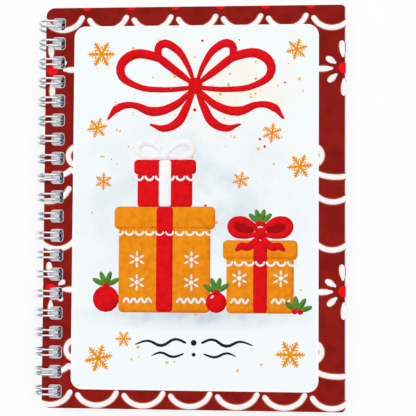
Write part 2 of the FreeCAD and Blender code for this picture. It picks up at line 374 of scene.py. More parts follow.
def new_plate(name, low, high, radii, bottom, thickness):
    """A flat plate whose four corners are rounded. radii are its left and its right corners'."""
    clear_pick()
    bpy.ops.mesh.primitive_plane_add(size=1, location=middle_of(low, high, bottom))
    piece = bpy.context.object
    piece.scale = (high[0] - low[0], high[1] - low[1], 1)
    set_place(piece)
    for edge_x, radius in zip((low[0], high[0]), radii):
        select_where(piece, lambda place: abs(place.x - edge_x) < SAME_PLACE)
        bpy.ops.mesh.bevel(offset=radius, segments=8, affect="VERTICES")
    bpy.ops.mesh.select_all(action="SELECT")
    bpy.ops.mesh.extrude_region_move(TRANSFORM_OT_translate={"value": (0, 0, thickness)})
    bpy.ops.mesh.select_all(action="SELECT")
    face_outwards()
    return name_piece(piece, name)


def print_flat(piece, level, height):
    """Turns a rounded form into ink on a sheet: keeps how light falls on it as paint, and presses it flat."""
    mesh = piece.data
    paint = mesh.attributes.get("paint") or mesh.attributes.new("paint", "FLOAT_COLOR", "CORNER")
    for loop, corner in zip(mesh.loops, paint.data):
        share = 0.5 + 0.5 * mesh.vertices[loop.vertex_index].normal.dot(PAINTED_LIGHT)
        corner.color = (share, share, share, 1)
    select_where(piece, lambda place: place.z < 0)
    bpy.ops.transform.resize(value=(1, 1, 0), center_override=(0, 0, 0))
    end_edit()
    top = max(vertex.co.z for vertex in mesh.vertices)
    piece.scale = (1, 1, height / top)
    piece.location = (0, 0, level)
    set_place(piece)
    bpy.ops.object.shade_smooth_by_angle(angle=math.radians(40))
    return piece


def arc_path(centre, radius, start, end, count):
    """Points along a circular arc, as (x, y)."""
    path = []
    for step in range(count + 1):
        angle = start + (end - start) * step / count
        path.append((centre[0] + radius * math.cos(angle), centre[1] + radius * math.sin(angle)))
    return path


def both_sides(paths, middle):
    """Paths, and the same paths turned over about an upright line."""
    return paths + [[(2 * middle - point[0], *point[1:]) for point in path] for path in paths]


# Nodes


def link(tree, source, target):
    """Joins two sockets."""
    tree.links.new(source, target)


def new_group(name, inputs, outputs):
    """An empty shader node group with named sockets, what it is given and where its results go."""
    group = bpy.data.node_groups.new(name, "ShaderNodeTree")
    kinds = {"colour": "NodeSocketColor", "value": "NodeSocketFloat"}
    for socket, kind in inputs:
        group.interface.new_socket(socket, in_out="INPUT", socket_type=kinds[kind])
    for socket, kind in outputs:
        group.interface.new_socket(socket, in_out="OUTPUT", socket_type=kinds[kind])
    return group, group.nodes.new("NodeGroupInput").outputs, group.nodes.new("NodeGroupOutput").inputs


def object_place(tree):
    """A point's place on its object."""
    return tree.nodes.new("ShaderNodeTexCoord").outputs["Object"]


def split_axes(tree, vector):
    """The X, Y and Z of a vector."""
    split = tree.nodes.new("ShaderNodeSeparateXYZ")
    link(tree, vector, split.inputs["Vector"])
    return split.outputs


def add_noise(tree, vector, scale, detail):
    """A noise texture on a vector."""
    noise = tree.nodes.new("ShaderNodeTexNoise")
    noise.inputs["Scale"].default_value = scale
    noise.inputs["Detail"].default_value = detail
    link(tree, vector, noise.inputs["Vector"])
    return noise.outputs["Fac"]


def add_mix(tree, factor, first, second):
    """A colour mix of sockets and colours."""
    mix = tree.nodes.new("ShaderNodeMix")
    mix.data_type = "RGBA"
    for source, index in ((factor, 0), (first, 6), (second, 7)):
        if isinstance(source, bpy.types.NodeSocket):
            link(tree, source, mix.inputs[index])
        else:
            mix.inputs[index].default_value = (*source, 1)
    return mix.outputs[2]


def add_range(tree, value, low, high, to_low=0.0, to_high=1.0):
    """A clamped range of a value."""
    span = tree.nodes.new("ShaderNodeMapRange")
    for name, number in (("From Min", low), ("From Max", high), ("To Min", to_low), ("To Max", to_high)):
        span.inputs[name].default_value = number
    link(tree, value, span.inputs["Value"])
    return span.outputs["Result"]


def add_math(tree, operation, *values):
    """A sum on sockets and numbers."""
    node = tree.nodes.new("ShaderNodeMath")
    node.operation = operation
    for socket, value in zip(node.inputs, values):
        if isinstance(value, bpy.types.NodeSocket):
            link(tree, value, socket)
        else:
            socket.default_value = value
    return node.outputs["Value"]


def grain_group():
    """Fine mottle of ink and fibre: darkens a colour a little and gives a height for a bump."""
    found = bpy.data.node_groups.get("Card grain")
    if found:
        return found
    group, given, result = new_group(
        "Card grain",
        (("Color", "colour"), ("Deep", "colour"), ("Amount", "value")),
        (("Color", "colour"), ("Height", "value")),
    )
    where = object_place(group)
    fibre = add_noise(group, where, scale=2600.0, detail=3.0)
    cloud = add_noise(group, where, scale=160.0, detail=5.0)
    fibre_share = add_range(group, fibre, 0.25, 0.75, 0.6, 1.0)
    both = add_math(group, "MULTIPLY", fibre_share, add_range(group, cloud, 0.36, 0.64))
    share = add_math(group, "MULTIPLY", both, given["Amount"])
    link(group, add_mix(group, share, given["Color"], given["Deep"]), result["Color"])
    link(group, fibre, result["Height"])
    return group


def faces_group():
    """The three sides of a sheet of card: its upper face, its lower face and its cut edge."""
    found = bpy.data.node_groups.get("Card faces")
    if found:
        return found
    group, given, result = new_group(
        "Card faces",
        (("Upper", "colour"), ("Lower", "colour"), ("Edge", "colour")),
        (("Color", "colour"),),
    )
    facing = split_axes(group, group.nodes.new("ShaderNodeTexCoord").outputs["Normal"])["Z"]
    upper = add_range(group, facing, 0.4, 0.6)
    lower = add_range(group, facing, -0.4, -0.6)
    first = add_mix(group, upper, given["Edge"], given["Upper"])
    link(group, add_mix(group, lower, first, given["Lower"]), result["Color"])
    return group


def paint_group():
    """Watercolour ink: light and deep tones by how the motif was shaded, with soft blots."""
    found = bpy.data.node_groups.get("Painted ink")
    if found:
        return found
    group, given, result = new_group(
        "Painted ink",
        (("Light", "colour"), ("Deep", "colour"), ("Shade", "value"), ("Blots", "value")),
        (("Color", "colour"),),
    )
    paint = group.nodes.new("ShaderNodeAttribute")
    paint.attribute_name = "paint"
    shaded = add_range(group, paint.outputs["Fac"], 0.86, 0.34)
    by_shape = add_math(group, "MULTIPLY", shaded, given["Shade"])
    speckle = add_noise(group, object_place(group), scale=420.0, detail=4.0)
    blots = add_range(group, speckle, 0.4, 0.72)
    share = add_math(group, "MULTIPLY_ADD", blots, given["Blots"], by_shape)
    share.node.use_clamp = True
    link(group, add_mix(group, share, given["Light"], given["Deep"]), result["Color"])
    return group


def edge_highlight_group(sizes):
    """A painted edge highlight in the core's colour on a printed face: a rim round each punched slot, and a
    line along the fore edge.
    """
    found = bpy.data.node_groups.get("Worn print")
    if found:
        return found
    group, given, result = new_group("Worn print", (("Rim", "value"),), (("Mask", "value"),))
    axes = split_axes(group, object_place(group))
    x, y = axes["X"], axes["Y"]
    turns = add_math(group, "FRACT", add_math(group, "DIVIDE", y, sizes.slot_pitch))
    along = add_math(group, "MULTIPLY", add_math(group, "SUBTRACT", turns, 0.5), sizes.slot_pitch)
    across = add_math(group, "SUBTRACT", x, SLOT_LEFT + sizes.slot_width / 2)
    squares = []
    for place, size in ((across, sizes.slot_width), (along, sizes.slot_length)):
        past = add_math(group, "SUBTRACT", add_math(group, "ABSOLUTE", place), size / 2 - sizes.slot_corner)
        squares.append(add_math(group, "POWER", add_math(group, "MAXIMUM", past, 0.0), 2.0))
    away = add_math(group, "SQRT", add_math(group, "ADD", *squares))
    away = add_math(group, "SUBTRACT", away, sizes.slot_corner)
    rim = add_math(group, "LESS_THAN", away, given["Rim"])
    row = add_math(group, "LESS_THAN", add_math(group, "ABSOLUTE", y), SLOTS / 2 * sizes.slot_pitch)
    # The line along the fore edge is a painted highlight in the core's colour, not rubbed print.
    highlight_start, highlight_full = FRONT_HIGH.x - 0.5 * MM, FRONT_HIGH.x - 0.35 * MM
    edge = add_range(group, x, highlight_start, highlight_full)
    link(group, add_math(group, "MAXIMUM", add_math(group, "MULTIPLY", rim, row), edge), result["Mask"])
    return group


# Materials


def darker(shade, share):
    """A colour brought down to a share of its light."""
    return tuple(channel * share for channel in shade)


def new_material(name, roughness=0.55, specular=0.05):
    """A material's tree, its shader's inputs and the material: matt print, if nothing else is said."""
    material = bpy.data.materials.new(name)
    material.use_nodes = True
    tree = material.node_tree
    shader = tree.nodes["Principled BSDF"]
    shader.inputs["Roughness"].default_value = roughness
    shader.inputs["Specular IOR Level"].default_value = specular
    return tree, shader.inputs, material


def add_group(tree, group, **values):
    """Places a group in a material and sets its inputs."""
    node = tree.nodes.new("ShaderNodeGroup")
    node.node_tree = group
    for name, value in values.items():
        node.inputs[name].default_value = (*value, 1.0) if hasattr(value, "__len__") else value
    return node


def add_bump(tree, height, strength):
    """A fine bump for a shader's normal."""
    bump = tree.nodes.new("ShaderNodeBump")
    bump.inputs["Strength"].default_value = strength
    bump.inputs["Distance"].default_value = 0.02 * MM
    link(tree, height, bump.inputs["Height"])
    return bump.outputs["Normal"]


def ink_material(name, light, deep, shade, blots):
    """A matt printed ink with painted shading."""
    tree, shader, material = new_material(name)
    paint = add_group(tree, paint_group(), Light=light, Deep=deep, Shade=shade, Blots=blots)
    grain = add_group(tree, grain_group(), Deep=darker(light, 0.8), Amount=0.25)
    link(tree, paint.outputs["Color"], grain.inputs["Color"])
    link(tree, grain.outputs["Color"], shader["Base Color"])
    return material


def card_material(name, shade, deep_share, amount, roughness=0.75):
    """Plain card, the same on all sides."""
    tree, shader, material = new_material(name, roughness, specular=0.2)
    grain = add_group(tree, grain_group(), Color=shade, Deep=darker(shade, deep_share), Amount=amount)
    link(tree, grain.outputs["Color"], shader["Base Color"])
    link(tree, add_bump(tree, grain.outputs["Height"], strength=0.12), shader["Normal"])
    return material


def cover_material(name, look, sizes, outer, inner):
    """Board with a printed outer face, a plain inner face and a bare core on its cut edges, with a painted
    highlight in the core's colour round each slot and along the fore edge.
    """
    tree, shader, material = new_material(name)
    edge_highlight = add_group(tree, edge_highlight_group(sizes), Rim=sizes.slot_highlight)
    ink = add_group(tree, grain_group(), Color=look.border, Deep=look.border_deep, Amount=1.0)
    plain = add_group(tree, grain_group(), Color=look.paper, Deep=darker(look.paper, 0.9), Amount=0.3)
    faces = add_group(tree, faces_group(), Edge=look.core)
    # Painted highlight: the core's colour is laid over the print round the slots and at the fore edge.
    highlighted = add_mix(tree, edge_highlight.outputs["Mask"], ink.outputs["Color"], look.core)
    link(tree, highlighted, faces.inputs[outer])
    link(tree, plain.outputs["Color"], faces.inputs[inner])
    link(tree, faces.outputs["Color"], shader["Base Color"])
    link(tree, add_bump(tree, ink.outputs["Height"], strength=0.1), shader["Normal"])
    return material


def add_cloud(tree, where, middle, reach, grain, solid):
    """A mask for one watercolour cloud: an uneven patch that fades towards its edge."""
    centred = tree.nodes.new("ShaderNodeMapping")
    centred.vector_type = "TEXTURE"
    centred.inputs["Location"].default_value = (*drawn_at(*middle), 0)
    centred.inputs["Scale"].default_value = (reach[0] * MM, reach[1] * MM, 1)
    link(tree, where, centred.inputs["Vector"])
    away = tree.nodes.new("ShaderNodeVectorMath")
    away.operation = "LENGTH"
    link(tree, centred.outputs["Vector"], away.inputs[0])
    faded_at, full_at = 1.1, 0.2
    near = add_range(tree, away.outputs["Value"], faded_at, full_at)
    puffs = add_range(tree, add_noise(tree, where, grain, detail=5.0), 0.4, 0.62, solid, 1.0)
    return add_math(tree, "MULTIPLY", near, puffs)


def panel_material(look):
    """The pale panel, with soft watercolour clouds."""
    tree, shader, material = new_material("pale panel")
    flat = tree.nodes.new("ShaderNodeVectorMath")
    flat.operation = "MULTIPLY"
    flat.inputs[1].default_value = (1, 1, 0)
    link(tree, object_place(tree), flat.inputs[0])
    clouds = (
        # tone, middle and reach in millimetres, scale of its puffs, share that is solid
        (look.cream, (14, 50), (34, 24), 90.0, 0.0),
        (look.wash, (-4, -2), (52, 46), 62.0, 0.1),
        (look.ground, (0, -47), (52, 6.5), 150.0, 0.55),
    )
    ground = look.panel
    for tone, *cloud in clouds:
        ground = add_mix(tree, add_cloud(tree, flat.outputs["Vector"], *cloud), ground, tone)
    link(tree, ground, shader["Base Color"])
    return material


def steel_material(look):
    """Bright coated wire."""
    tree, shader, material = new_material("bright wire", roughness=0.25, specular=0.5)
    shader["Metallic"].default_value = 1.0
    grain = add_group(tree, grain_group(), Color=look.steel, Deep=darker(look.steel, 0.85), Amount=0.4)
    link(tree, grain.outputs["Color"], shader["Base Color"])
    return material


# Sheets


class CARDBOOK_OT_sheets(bpy.types.Operator):
    """Finish the covers, leaves, pockets and foam tape"""

    bl_idname = "cardbook.sheets"
    bl_label = "Sheets"

    def execute(self, context):
        sizes, look = context.scene.book_sizes, context.scene.book_colours
        front = cover_material("front cover board", look, sizes, "Upper", "Lower")
        back = cover_material("back cover board", look, sizes, "Lower", "Upper")
        leaf = card_material("leaf card", look.paper, deep_share=0.92, amount=0.4)
        pocket = card_material("pocket card", look.kraft, deep_share=0.72, amount=0.6)
        tape = card_material("foam tape", look.foam, deep_share=0.85, amount=0.5, roughness=0.9)
        finishes = {
            "front_cover": (front, "cover_board"),
            "back_cover": (back, "cover_board"),
            "pocket": (pocket, "pocket_paper"),
            "tape": (tape, "foam_tape"),
        }
        for name, node in NODES.items():
            if name == "binding_wire":
                continue
            kind = name if name in finishes else name.split("_")[-1]
            material, slot = finishes.get(kind, (leaf, "leaf_paper"))
            node.data.materials.clear()
            node.data.materials.append(material)
        return {"FINISHED"}


# Wire


def bend_on(angle, centre, axis, steps):
    """Carries the selected ring of the wire round an axis, by the right-hand rule."""
    bpy.ops.mesh.spin(steps=steps, angle=-angle, center=centre, axis=axis)


def run_on(way):
    """Carries the selected ring of the wire straight on."""
    bpy.ops.mesh.extrude_region_move(TRANSFORM_OT_translate={"value": way})


class CARDBOOK_OT_wire(bpy.types.Operator):
    """Form one double loop from a round section, and repeat it along the spine"""

    bl_idname = "cardbook.wire"
    bl_label = "Binding wire"

    def execute(self, context):
        sizes = context.scene.book_sizes
        half, bend = sizes.strand_spacing / 2, sizes.bend
        low_y, high_y = WIRE_LOW.y, WIRE_HIGH.y
        pitch = (high_y - low_y) / SLOTS
        run = pitch / 2 - half - bend
        radius = (WIRE_HIGH.x - WIRE_LOW.x - sizes.wire) / 2
        hub = Vector((HINGE[0], 0, HINGE[2]))
        gap_middle = (BACK_HIGH.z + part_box("leaf_4")[0].z) / 2
        run_angle = math.asin((gap_middle - hub.z) / math.hypot(radius, bend))
        start = run_angle + math.atan(bend / radius)
        end = run_angle + 2 * math.pi - SEAM_GAP / radius - math.atan(half / radius)
        up = Vector((0, 1, 0))

        def on_ring(angle, y):
            return hub + Vector((radius * math.cos(angle), y, radius * math.sin(angle)))

        def along(angle):
            return Vector((-math.sin(angle), 0, math.cos(angle)))

        base_on, tip_on = along(start), along(end)
        first = low_y + run
        clear_pick()
        bpy.ops.mesh.primitive_circle_add(vertices=14, radius=sizes.wire / 2, location=(0, 0, 0))
        wire = bpy.context.object
        wire.location = on_ring(start, first) - base_on * bend - up * run
        wire.rotation_euler = (-math.pi / 2, 0, 0)
        edit_all(set_place(wire))
        quarter = math.pi / 2
        bend_steps, strand_steps, tip_steps = 6, 42, 12
        run_on(up * run)
        bend_on(quarter, on_ring(start, first), up.cross(base_on), bend_steps)
        bend_on(end - start, hub, -up, strand_steps)
        bend_on(2 * quarter, on_ring(end, first + bend + half), tip_on.cross(up), tip_steps)
        bend_on(start - end, hub, -up, strand_steps)
        last = first + 2 * bend + 2 * half
        bend_on(quarter, on_ring(start, last), (-base_on).cross(up), bend_steps)
        run_on(up * run)
        end_edit()
        apply_modifier(
            wire,
            "ARRAY",
            count=SLOTS,
            use_relative_offset=False,
            use_constant_offset=True,
            constant_offset_displace=(0, pitch, 0),
            use_merge_vertices=True,
            merge_threshold=5 * SAME_PLACE,
        )
        for end_y in (low_y, high_y):
            select_where(wire, lambda place: abs(place.y - end_y) < 10 * SAME_PLACE)
            bpy.ops.mesh.edge_face_add()
        bpy.ops.mesh.select_all(action="SELECT")
        face_outwards()
        bpy.ops.object.shade_smooth_by_angle(angle=math.radians(50))
        name_piece(wire, "twin_loop_wire")
        dress(wire, steel_material(context.scene.book_colours), "back")
        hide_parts("binding_wire")
        return {"FINISHED"}


# Border ornament: places and sizes in millimetres

SCALLOP_ROWS = (
    # low point, last middle, pitch, gap between ends, share of the full depth
    (77.8, 61.85, 19.65, 1.7, 1.0),
    (12.8, 63.7, 21.0, -1.2, 0.62),
    (2.1, 62.3, 20.65, 1.7, 1.04),
    (-18.6, 62.0, 19.95, 1.7, 1.0),
    (-72.7, 64.2, 21.08, -1.2, 0.62),
    (-86.3, 61.85, 20.3, 1.7, 1.0),
)
RING_ROWS, RING_FIRST, RING_PITCH, RING_RADIUS = (22.2, -62.3), -48.9, 34.1, 4.2
DAISY_ROWS = (
    # height, first middle, pitch
    (60.2, -60.6, 31.9),
    (-36.3, -60.2, 31.8),
)
PETAL_LEANS = (0.0, -0.24, 0.08, 0.24, 0.04, -0.06, 0.0, 0.04)
PETAL_WIDTH_SHARES = ((0.0, 0.6), (0.35, 0.95), (0.65, 1.08), (1.0, 0.95))
SCALLOPS_IN_ROW, RINGS_IN_ROW, DAISIES_IN_ROW = 8, 4, 5
DOT_ROWS, DOT_MIDDLE, DOT_PITCH, DOT_SIZE = (88.4, -9.6), 3.6, 19.65, 4.3


def cover_outline(sizes):
    """A thick helper in the shape of a punched cover, to trim the print with."""
    deep = 2 * MM
    plate = new_plate("cover_trim", FRONT_LOW, FRONT_HIGH, (SPINE_CORNER, FORE_CORNER), -deep / 2, deep)
    left, right = SLOT_LEFT, SLOT_LEFT + sizes.slot_width
    corner = sizes.slot_corner
    slots = []
    for number in range(SLOTS):
        middle = (number - (SLOTS - 1) / 2) * sizes.slot_pitch
        low, high = middle - sizes.slot_length / 2, middle + sizes.slot_length / 2
        slots.append(new_plate("slot", (left, low), (right, high), (corner, corner), -deep, 2 * deep))
    punch = join("slots", slots)
    apply_modifier(plate, "BOOLEAN", operation="DIFFERENCE", object=punch, solver="EXACT")
    remove(punch)
    return plate


def scallop_paths(sizes):
    """Rows of piped scallops across a whole cover, each a little higher at its right end."""
    bend = 0.86
    lift = 1 - math.sqrt(1 - bend)
    start_share, step_share = 0.95, 0.245
    paths = []
    for bottom, last, pitch, gap, drop in SCALLOP_ROWS:
        reach = (pitch - gap) / 2 * MM
        for number in range(SCALLOPS_IN_ROW):
            middle = (last - number * pitch) * MM
            path = []
            for step in range(9):
                share = step * step_share - start_share
                rise = 1 - math.sqrt(1 - bend * share * share)
                path.append((middle + share * reach, bottom * MM + sizes.scallop_depth * drop * rise / lift))
            paths.append(path)
    return paths


def ring_paths():
    """Piped rings in two rows."""
    points = 12
    turn = 2 * math.pi * (points - 1) / points
    paths = []
    for y in RING_ROWS:
        for number in range(RINGS_IN_ROW):
            middle = ((RING_FIRST + RING_PITCH * number) * MM, y * MM)
            paths.append(arc_path(middle, RING_RADIUS * MM, 0, turn, points - 1))
    return paths


def daisy_places():
    """Middles of the piped daisies, in two rows."""
    places = []
    for y, first, pitch in DAISY_ROWS:
        for number in range(DAISIES_IN_ROW):
            places.append(Vector(((first + number * pitch) * MM, y * MM)))
    return places


def petal_paths(sizes):
    """Drop-shaped petals round each daisy's middle: long ones along the axes, and short ones between them."""
    chance = random.Random(4)
    spine_side = FRONT_LOW.x + 12 * MM
    long_root, short_root = 4.6 * MM, 3.9 * MM
    paths = []
    for middle in daisy_places():
        short_tip = 7.4 * MM if middle.x < spine_side else 9.1 * MM
        for number, lean in enumerate(PETAL_LEANS):
            short = number % 2 == 1
            angle = number * math.pi / 4 + lean
            inner, outer = (short_root, short_tip) if short else (long_root, sizes.daisy_reach)
            outer *= chance.uniform(0.97, 1.03)
            way = Vector((math.cos(angle), math.sin(angle)))
            path = []
            for share, width in PETAL_WIDTH_SHARES:
                path.append((*middle + way * (inner + (outer - inner) * share), width))
            paths.append(path)
    return paths


def border_icing(sizes, grow):
    """The piped scallops, rings and petals of the border."""
    width = sizes.piping + grow
    return (
        new_strokes("scallops", scallop_paths(sizes), width),
        new_strokes("rings", ring_paths(), width, closed=True),
        new_strokes("petals", petal_paths(sizes), sizes.petal + grow),
    )


def border_berries(sizes):
    """Red dots between the scallops and in the daisies' middles."""
    spots = [(place, 2 * sizes.daisy_eye) for place in daisy_places()]
    for row in DOT_ROWS:
        for number in range(-3, 4):
            spots.append((((DOT_MIDDLE + (number + 0.5) * DOT_PITCH) * MM, row * MM), DOT_SIZE * MM))
    dots = [new_pebble(place, (size, size, 2 * MM)) for place, size in spots]
    return (join("berries", dots),)


def trim_lines(motif, trim, sizes):
    """Trims each line of a print that comes near an edge or a slot, and drops what is off the cover."""
    margin = 4 * MM
    left, right = SLOT_LEFT + sizes.slot_width, FRONT_HIGH.x - margin
    top = FRONT_HIGH.y - margin

    def near(place):
        return not left < place.x < right or abs(place.y) > top

    if not any(near(vertex.co) for vertex in motif.data.vertices):
        return [motif]
    select_where(motif, near)
    bpy.ops.mesh.select_linked()
    bpy.ops.mesh.separate(type="SELECTED")
    end_edit()
    motif.select_set(False)
    edit_all(*bpy.context.selected_objects)
    bpy.ops.mesh.separate(type="LOOSE")
    end_edit()
    kept = [motif]
    for line in list(bpy.context.selected_objects):
        apply_modifier(line, "BOOLEAN", operation="INTERSECT", object=trim, solver="EXACT")
        if line.data.polygons:
            kept.append(line)
        else:
            remove(line)
    return kept


def to_back_face(piece, name):
    """A copy of a print on the front cover, turned over onto the back cover's outer face."""
    copy = name_piece(copy_piece(piece), name)
    edit_all(copy)
    bpy.ops.transform.resize(value=(1, 1, -1), center_override=(0, 0, 0))
    bpy.ops.transform.translate(value=(0, 0, BACK_FACE + FRONT_FACE))
    face_outwards()
    return copy


class CARDBOOK_OT_border(bpy.types.Operator):
    """Print the piped border on both covers and trim it at their edges and slots"""

    bl_idname = "cardbook.border"
    bl_label = "Piped border"

    def execute(self, context):
        sizes, look = context.scene.book_sizes, context.scene.book_colours
        trim = cover_outline(sizes)
        white = ink_material("piped icing", look.icing, look.icing_shade, shade=0.45, blots=0.0)
        warm = ink_material("icing edge", look.icing_edge, darker(look.icing_edge, 0.7), shade=0.4, blots=0.3)
        red = ink_material("berry ink", look.berry, darker(look.berry, 0.7), shade=0.45, blots=0.05)
        edge_width, edge_height = 0.75 * MM, 0.012 * MM
        prints = (
            ("border_edge", border_icing(sizes, edge_width), warm, edge_height),
            ("border_icing", border_icing(sizes, 0.0), white, sizes.ink),
            ("border_berries", border_berries(sizes), red, sizes.ink * 1.1),
        )
        for name, motifs, material, height in prints:
            lines = []
            for motif in motifs:
                lines += trim_lines(print_flat(motif, 0.0, height), trim, sizes)
            piece = join("front_" + name, lines)
            piece.location = (0, 0, FRONT_FACE)
            set_place(piece)
            back = to_back_face(piece, "back_" + name)
            dress(piece, material, "front")
            dress(back, material, "back")
        remove(trim)
        return {"FINISHED"}


# Pale panel


class CARDBOOK_OT_panel(bpy.types.Operator):
    """Lay the pale panel with its white rim on the front cover"""

    bl_idname = "cardbook.panel"
    bl_label = "Pale panel"

    def execute(self, context):
        sizes, look = context.scene.book_sizes, context.scene.book_colours
        corner, rim = sizes.panel_corner, sizes.panel_rim
        _, shader, white = new_material("panel rim")
        shader["Base Color"].default_value = (*look.rim, 1)
        edge = new_plate("panel_rim", PANEL_LOW, PANEL_HIGH, (corner, corner), FRONT_FACE, RIM_TOP)
        dress(edge, white, "front")
        inset = Vector((rim, rim))
        low, high = PANEL_LOW + inset, PANEL_HIGH - inset
        inner = corner - rim
        pale = new_plate("pale_panel", low, high, (inner, inner), FRONT_FACE, PANEL_TOP)
        dress(pale, panel_material(look), "front")
        return {"FINISHED"}


# The panel's picture is drawn in millimetres, across from the panel's middle and up from the cover's


def drawn_at(across, up, *share):
    """A point of the picture in metres, with any share of a line's width after it."""
    return (PANEL_MIDDLE.x + across * MM, up * MM, *share)


def drawn_pebble(across, up, size, turn=0.0):
    """A pebble in the picture."""
    return new_pebble(drawn_at(across, up), [side * MM for side in size], turn)


def drawn_block(left, low, right, high, edge):
    """A rounded block in the picture."""
    return new_block(drawn_at(left, low), drawn_at(right, high), edge * MM)


def on_panel(pieces, name, material, level, height):
    """Prints forms on the pale panel as one piece, at a level and height in millimetres."""
    piece = print_flat(join(name, pieces), FRONT_FACE + PANEL_TOP + level * MM, height * MM)
    return dress(name_piece(piece, name), material, "front")


# Snowflakes and specks

FLAKES = (
    # across, up, scale, turn
    (-41.5, 67.0, 1.1, 0.0),
    (44.0, 68.5, 0.86, 0.26),
    (-43.0, 34.5, 0.84, 0.2),
    (33.5, 32.0, 0.8, 0.4),
    (45.5, 17.5, 1.0, 0.1),
    (-40.0, 11.0, 0.72, 0.5),
    (20.0, 11.5, 0.7, 0.3),
    (-41.5, -66.0, 1.12, 0.2),
    (-30.5, -57.5, 0.66, 0.0),
    (41.5, -63.5, 1.15, 0.0),
)
BARB_SHARES = (
    # along the arm, and length of the barb
    (0.3, 0.36),
    (0.52, 0.3),
    (0.74, 0.2),
)
SPECK_SIZES = (0.55, 0.7, 0.9, 1.15, 1.5)
SPECKS, RED_EVERY = 96, 6
SPECKS_ACROSS, SPECKS_UP, SPECKS_DENSE_FROM = 47, 74, 20


def snowflake(reach, width):
    """One six-armed snowflake, each arm feathered with barbs that shorten towards its tip."""
    arms, barbs = [], []
    spread, thin, heart_size = 0.92, width * 0.68, width * 1.8
    for arm in range(6):
        angle = arm * math.pi / 3
        out = Vector((math.cos(angle), math.sin(angle)))
        arms.append([(0, 0, 1.0), (*out * reach * 0.7, 1.0), (*out * reach, 0.4)])
        for share, size in BARB_SHARES:
            for side in (-spread, spread):
                way = Vector((math.cos(angle + side), math.sin(angle + side)))
                root = out * reach * share
                barbs.append([(*root, 1.0), (*root + way * reach * size, 0.5)])
    stems = new_strokes("arms", arms, width, rounded=False, sides=1, steps=1)
    feathers = new_strokes("barbs", barbs, thin, rounded=False, sides=1, steps=1)
    heart = new_pebble((0, 0), (heart_size, heart_size, width * 1.6))
    return join("snowflake", [stems, feathers, heart])


class CARDBOOK_OT_flakes(bpy.types.Operator):
    """Scatter gold snowflakes and specks over the panel"""

    bl_idname = "cardbook.flakes"
    bl_label = "Snowflakes and specks"

    def execute(self, context):
        look = context.scene.book_colours
        gold = ink_material("gold ink", look.gold, look.gold_deep, shade=0.2, blots=0.7)
        pale = ink_material("pale gold ink", look.speck, look.gold, shade=0.2, blots=0.5)
        red = ink_material("speck red", look.ribbon, look.ribbon_deep, shade=0.3, blots=0.3)
        model = snowflake(reach=5.6 * MM, width=1.0 * MM)
        flakes = [copy_piece(model, drawn_at(across, up, 0), turn, size) for across, up, size, turn in FLAKES]
        remove(model)
        on_panel(flakes, "gold_snowflakes", gold, level=0.0, height=0.03)

        chance = random.Random(11)
        speck = new_pebble((0, 0), (1 * MM, 1 * MM, 1 * MM))
        golden, rosy = [], []
        for number in range(SPECKS):
            across = chance.uniform(-SPECKS_ACROSS, SPECKS_ACROSS)
            high = chance.uniform(SPECKS_DENSE_FROM, SPECKS_UP)
            up = chance.choice((high, chance.uniform(-SPECKS_UP, SPECKS_UP)))
            size = chance.choice(SPECK_SIZES)
            copies = rosy if number % RED_EVERY == 0 else golden
            copies.append(copy_piece(speck, drawn_at(across, up, 0), 0.0, size))
        remove(speck)
        on_panel(golden, "gold_specks", pale, level=0.0, height=0.02)
        on_panel(rosy, "red_specks", red, level=0.0, height=0.02)
        return {"FINISHED"}


# Ribbon bow

KNOT_HEIGHT, KNOT_SIZE = 52.5, (6.4, 7.4, 6)
RIBBON_WIDTH = 3.5
RIBBON_LINES = (
    # wide loop, high loop, long tail and short tail: across and up from the knot, share of the ribbon's width
    (
        *((1, 1, 0.6), (9, 7.5, 0.8), (19, 13.6, 1.15), (29.5, 13.2, 1.25)),
        *((33, 6.5, 1.1), (26.5, 0.6, 0.8), (14, -1.4, 0.7), (1.5, -0.6, 0.6)),
    ),
    (
        *((0.6, 2, 0.5), (3.6, 9.5, 0.7), (9.2, 17, 1.0), (15, 18.6, 1.1)),
        *((16.4, 14.4, 0.9), (10.5, 7.4, 0.6), (1.6, 1.4, 0.5)),
    ),
    (
        *((1.6, -1.8, 0.6), (8.5, -8, 1.0), (18.5, -11, 1.2)),
        *((28, -8, 0.8), (34.5, -9.6, 1.0), (38.6, -14.4, 0.45)),
    ),
    ((0.8, -2.6, 0.6), (4, -9.4, 1.0), (7.5, -15.6, 1.15), (14, -18.4, 0.9), (20, -16.6, 0.4)),
)


class CARDBOOK_OT_ribbon(bpy.types.Operator):
    """Print the large red bow with its curling tails at the head of the panel"""

    bl_idname = "cardbook.ribbon"
    bl_label = "Ribbon bow"

    def execute(self, context):
        look = context.scene.book_colours
        red = ink_material("ribbon ink", look.ribbon, look.ribbon_deep, shade=0.55, blots=0.45)
        lines = []
        for line in RIBBON_LINES:
            lines.append([drawn_at(across, KNOT_HEIGHT + up, share) for across, up, share in line])
        strokes = new_strokes("bow", both_sides(lines, PANEL_MIDDLE.x), RIBBON_WIDTH * MM)
        knot = drawn_pebble(0, KNOT_HEIGHT + 0.2, KNOT_SIZE)
        on_panel([knot, strokes], "ribbon_bow", red, level=0.005, height=0.04)
        return {"FINISHED"}


# Parcels

PARCEL_FOOT = -46.0
BAND_FOOT = PARCEL_FOOT + 0.3
GINGER_WRAPS = (
    # left, low, right, high, edge radius
    (-33, PARCEL_FOOT, 7, -9, 2.0),
    (-35, -10, 9, 0, 2.2),
    (14, PARCEL_FOOT, 43, -22, 1.8),
    (12.4, -23, 44.6, -14.5, 2.0),
)
RED_WRAPS = ((-25, -0.4, -1, 15, 1.6), (-26.6, 14, 0.6, 20.5, 1.7))
RED_BANDS = ((-16.6, BAND_FOOT, -9.4, -0.2, 1.3), (25.5, BAND_FOOT, 31.5, -14.7, 1.1))
PALE_BAND = (-15.6, 0, -10.4, 20.3, 1.1)
RED_BOW, RED_BOW_REACH, RED_BOW_RIBBON, RED_KNOT = (28.5, -11.6), 12.5, 3.0, (4.8, 5.2, 4)
PALE_BOW, PALE_BOW_REACH, PALE_BOW_RIBBON, PALE_KNOT = (-13, 22.6), 12, 2.8, (4.4, 4.8, 4)
